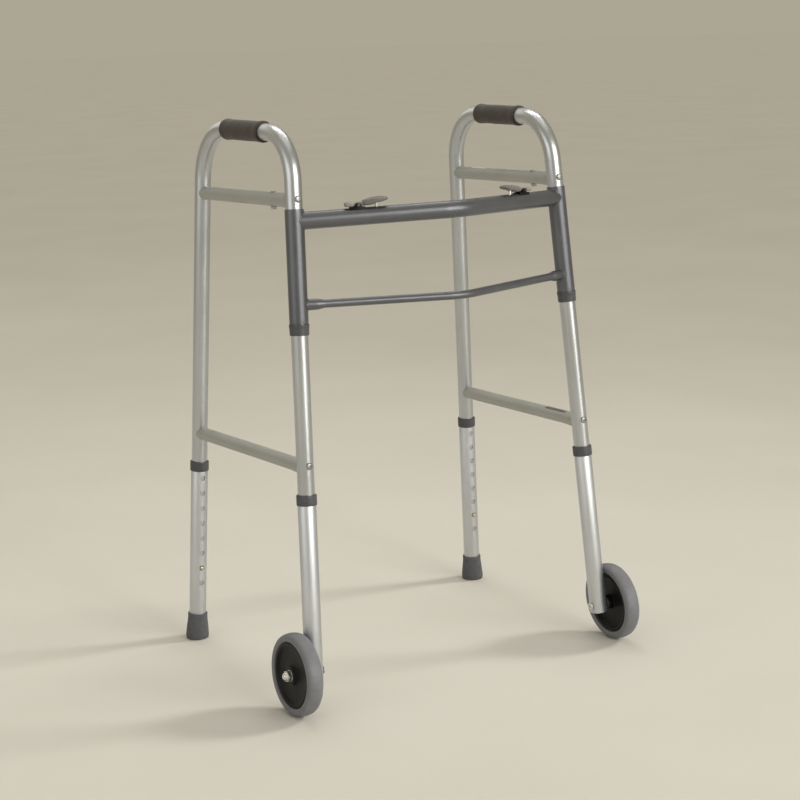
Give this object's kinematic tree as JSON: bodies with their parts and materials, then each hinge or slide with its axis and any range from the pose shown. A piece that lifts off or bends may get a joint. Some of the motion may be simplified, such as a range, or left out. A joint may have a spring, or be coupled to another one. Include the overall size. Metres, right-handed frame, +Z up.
{
  "type": "folding walking frame",
  "caption": "Folding walking frame: two bent-tube side frames with grips, bowed front brace with release levers, telescopic legs, front wheels and rear rubber tips.",
  "frame": {"origin": "middle of the footprint box, on the floor", "axes": "+Z up, +Y towards the rear where the user stands, +X towards the user's left"},
  "size_m": [0.62, 0.4754, 0.852],
  "materials": {
    "aluminium_tube": "satin anodised",
    "brace_tube": "matte",
    "dark_paint": "satin paint",
    "dark_plastic": "matte",
    "tip_rubber": "matte",
    "tyre_rubber": "matte",
    "hub_plastic": "satin",
    "grip_vinyl": "soft matte",
    "steel": "zinc plated",
    "lever_plastic": "satin"
  },
  "bodies": {
    "front_brace": {"upper_crossbar": "dark_paint", "lower_crossbar": "dark_paint", "right_hinge_sleeve": "dark_paint", "right_sleeve_bushing": "dark_plastic", "right_lever_bracket": "dark_plastic", "right_lever_pin": "steel", "left_hinge_sleeve": "dark_paint", "left_sleeve_bushing": "dark_plastic", "left_lever_bracket": "dark_plastic", "left_lever_pin": "steel"},
    "right_lever": {"right_release_lever": "lever_plastic"},
    "right_lever_plunger": {"right_plunger": "steel"},
    "right_lock": {"right_lock_bolt": "steel"},
    "right_side": {"right_side_tube": "aluminium_tube", "right_hand_grip": "grip_vinyl", "right_upper_brace": "brace_tube", "right_lower_brace": "brace_tube", "right_upper_front_screw": "steel", "right_upper_cross_dowel": "steel", "right_upper_rear_screw": "steel", "right_lower_front_screw": "steel", "right_lower_cross_dowel": "steel", "right_lower_rear_screw": "steel"},
    "right_front_leg": {"right_front_leg_extension": "aluminium_tube", "right_front_collar": "dark_plastic", "right_axle_bolt": "steel", "right_axle_spacer": "steel", "right_cap_nut": "steel"},
    "right_rear_leg": {"right_rear_leg_extension": "aluminium_tube", "right_rear_collar": "dark_plastic", "right_rear_tip": "tip_rubber"},
    "right_wheel": {"right_tyre": "tyre_rubber", "right_wheel_hub": "hub_plastic"},
    "right_front_button": {"right_front_snap_button": "steel"},
    "right_rear_button": {"right_rear_snap_button": "steel"},
    "left_lever": {"left_release_lever": "lever_plastic"},
    "left_lever_plunger": {"left_plunger": "steel"},
    "left_lock": {"left_lock_bolt": "steel"},
    "left_side": {"left_side_tube": "aluminium_tube", "left_hand_grip": "grip_vinyl", "left_upper_brace": "brace_tube", "left_lower_brace": "brace_tube", "left_upper_front_screw": "steel", "left_upper_cross_dowel": "steel", "left_upper_rear_screw": "steel", "left_lower_front_screw": "steel", "left_lower_cross_dowel": "steel", "left_lower_rear_screw": "steel"},
    "left_front_leg": {"left_front_leg_extension": "aluminium_tube", "left_front_collar": "dark_plastic", "left_axle_bolt": "steel", "left_axle_spacer": "steel", "left_cap_nut": "steel"},
    "left_rear_leg": {"left_rear_leg_extension": "aluminium_tube", "left_rear_collar": "dark_plastic", "left_rear_tip": "tip_rubber"},
    "left_wheel": {"left_tyre": "tyre_rubber", "left_wheel_hub": "hub_plastic"},
    "left_front_button": {"left_front_snap_button": "steel"},
    "left_rear_button": {"left_rear_snap_button": "steel"}
  },
  "joints": [
    {"name": "right_side_fold", "type": "hinge", "parent": "front_brace", "child": "right_side", "pos_m": [-0.23131, -0.1226, 0.65], "axis": [-0.0454, -0.0895, -0.9949], "range_deg": [0, 90]},
    {"name": "right_front_leg_height", "type": "slide", "parent": "right_side", "child": "right_front_leg", "axis": [-0.0454, -0.0895, -0.9949], "range_m": [-0.0254, 0.127]},
    {"name": "right_front_button_press", "type": "slide", "parent": "right_side", "child": "right_front_button", "axis": [0.0301, -0.9956, 0.0882], "range_m": [0, 0.004], "stiffness_N_per_m": 1200, "springref_m": -0.003},
    {"name": "right_rear_leg_height", "type": "slide", "parent": "right_side", "child": "right_rear_leg", "axis": [-0.0492, 0.0499, -0.9975], "range_m": [-0.0254, 0.127]},
    {"name": "right_rear_button_press", "type": "slide", "parent": "right_side", "child": "right_rear_button", "axis": [-0.0235, 0.9984, 0.0511], "range_m": [0, 0.004], "stiffness_N_per_m": 1200, "springref_m": -0.003},
    {"name": "right_wheel_spin", "type": "hinge", "parent": "right_front_leg", "child": "right_wheel", "pos_m": [-0.25825, -0.17569, 0.06011], "axis": [-0.9985, -0.026, 0.0479], "continuous": true},
    {"name": "right_bolt_draw", "type": "slide", "parent": "front_brace", "child": "right_lock", "axis": [0.9473, -0.3193, 0.0249], "range_m": [0, 0.004], "stiffness_N_per_m": 1300, "springref_m": -0.003},
    {"name": "right_plunger_drop", "type": "slide", "parent": "front_brace", "child": "right_lever_plunger", "axis": [0.0236, -0.0079, -0.9997], "range_m": [0, 0.0041]},
    {"name": "right_lever_press", "type": "hinge", "parent": "front_brace", "child": "right_lever", "pos_m": [-0.14122, -0.14632, 0.7327], "axis": [0.3194, 0.9476, 0], "range_deg": [0, 8.42]},
    {"name": "left_side_fold", "type": "hinge", "parent": "front_brace", "child": "left_side", "pos_m": [0.23131, -0.1226, 0.65], "axis": [-0.0454, 0.0895, 0.9949], "range_deg": [0, 72]},
    {"name": "left_front_leg_height", "type": "slide", "parent": "left_side", "child": "left_front_leg", "axis": [0.0454, -0.0895, -0.9949], "range_m": [-0.0254, 0.127]},
    {"name": "left_front_button_press", "type": "slide", "parent": "left_side", "child": "left_front_button", "axis": [-0.0301, -0.9956, 0.0882], "range_m": [0, 0.004], "stiffness_N_per_m": 1200, "springref_m": -0.003},
    {"name": "left_rear_leg_height", "type": "slide", "parent": "left_side", "child": "left_rear_leg", "axis": [0.0492, 0.0499, -0.9975], "range_m": [-0.0254, 0.127]},
    {"name": "left_rear_button_press", "type": "slide", "parent": "left_side", "child": "left_rear_button", "axis": [0.0235, 0.9984, 0.0511], "range_m": [0, 0.004], "stiffness_N_per_m": 1200, "springref_m": -0.003},
    {"name": "left_wheel_spin", "type": "hinge", "parent": "left_front_leg", "child": "left_wheel", "pos_m": [0.25825, -0.17569, 0.06011], "axis": [0.9985, -0.026, 0.0479], "continuous": true},
    {"name": "left_bolt_draw", "type": "slide", "parent": "front_brace", "child": "left_lock", "axis": [-0.9473, -0.3193, 0.0249], "range_m": [0, 0.004], "stiffness_N_per_m": 1300, "springref_m": -0.003},
    {"name": "left_plunger_drop", "type": "slide", "parent": "front_brace", "child": "left_lever_plunger", "axis": [-0.0236, -0.0079, -0.9997], "range_m": [0, 0.0041]},
    {"name": "left_lever_press", "type": "hinge", "parent": "front_brace", "child": "left_lever", "pos_m": [0.14122, -0.14632, 0.7327], "axis": [0.3194, -0.9476, 0], "range_deg": [0, 8.42]}
  ],
  "couplings": [
    {"joint": "right_plunger_drop", "follows": "right_bolt_draw", "ratio": 1},
    {"joint": "right_lever_press", "follows": "right_bolt_draw", "rad_per_m": 36.6},
    {"joint": "left_plunger_drop", "follows": "left_bolt_draw", "ratio": 1},
    {"joint": "left_lever_press", "follows": "left_bolt_draw", "rad_per_m": 36.6}
  ]
}
